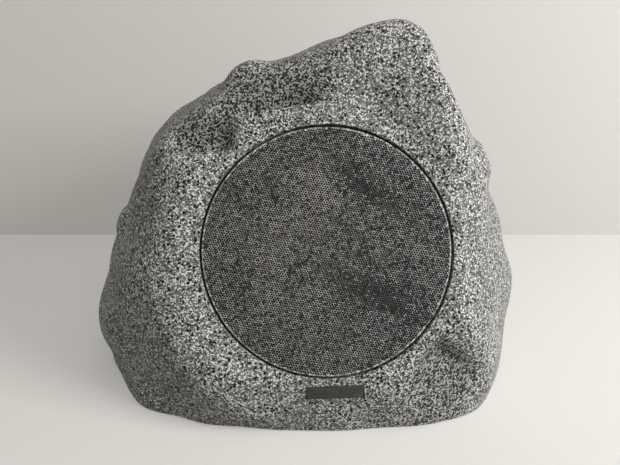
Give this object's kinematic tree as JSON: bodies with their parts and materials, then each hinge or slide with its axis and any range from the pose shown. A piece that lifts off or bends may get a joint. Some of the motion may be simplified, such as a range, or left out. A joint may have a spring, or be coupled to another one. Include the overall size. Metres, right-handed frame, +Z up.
{
  "type": "garden speaker",
  "caption": "Outdoor speaker in a moulded granite-look rock, with a round perforated grille flush in its leaning front and a coaxial driver on a ledge behind it.",
  "frame": {"origin": "on the ground, under the middle of the rock's bounding box", "axes": "-Y is the front with the grille, +X is the rock's right seen from the front, +Z is up"},
  "size_m": [0.4599, 0.3829, 0.3473],
  "materials": {
    "stone_shell": "moulded plastic, sprayed grey with white and black granite specks",
    "badge_metal": "satin dark bronze grey, bare",
    "grille_metal": "perforated sheet, sprayed dark grey with pale specks",
    "dust_cloth": "thin black cloth",
    "black_plastic": "moulded black",
    "base_plastic": "moulded dark grey, ribbed",
    "foam_gasket": "soft black seal",
    "basket_steel": "black stoved paint",
    "zinc_screws": "zinc plated",
    "surround_rubber": "moulded rubber roll",
    "cone_paper": "coated grey paper",
    "spider_cloth": "impregnated corrugated cloth",
    "former_film": "amber film",
    "copper_wire": "lacquered copper wire",
    "zinc_steel": "zinc plated",
    "ferrite": "ground ferrite",
    "tag_board": "brown laminate with tinned tags",
    "dome_metal": "drawn foil",
    "foot_rubber": "solid rubber",
    "board_laminate": "green solder mask",
    "capacitor_film": "wrapped film",
    "bobbin_plastic": "natural nylon",
    "resistor_ceramic": "cement filled",
    "block_plastic": "green",
    "red_lead": "insulated pair",
    "black_lead": "insulated pair"
  },
  "bodies": {
    "root": {"rock_shell": "stone_shell", "badge_plate": "badge_metal", "grille_mesh": "grille_metal", "grille_scrim": "dust_cloth", "grille_ring": "black_plastic", "tweeter_housing": "black_plastic", "tweeter_cap": "black_plastic", "gland_body": "black_plastic", "gland_nut": "black_plastic", "gland_lock_nut": "black_plastic", "base_plate": "base_plastic", "woofer_gasket": "foam_gasket", "base_gasket": "foam_gasket", "gland_washer": "foam_gasket", "gland_seal": "foam_gasket", "woofer_basket": "basket_steel", "woofer_screws": "zinc_screws", "base_screws": "zinc_screws", "board_screws": "zinc_screws", "woofer_surround": "surround_rubber", "woofer_cone": "cone_paper", "woofer_spider": "spider_cloth", "coil_former": "former_film", "coil_winding": "copper_wire", "inductor_winding": "copper_wire", "top_plate": "zinc_steel", "pole_yoke": "zinc_steel", "tweeter_post": "zinc_steel", "ferrite_magnet": "ferrite", "basket_terminals": "tag_board", "tweeter_dome": "dome_metal", "front_left_foot": "foot_rubber", "front_right_foot": "foot_rubber", "rear_left_foot": "foot_rubber", "rear_right_foot": "foot_rubber", "crossover_board": "board_laminate", "crossover_capacitor": "capacitor_film", "inductor_bobbin": "bobbin_plastic", "crossover_resistor": "resistor_ceramic", "terminal_block": "block_plastic", "woofer_leads": "red_lead", "tweeter_leads": "black_lead"}
  },
  "joints": []
}
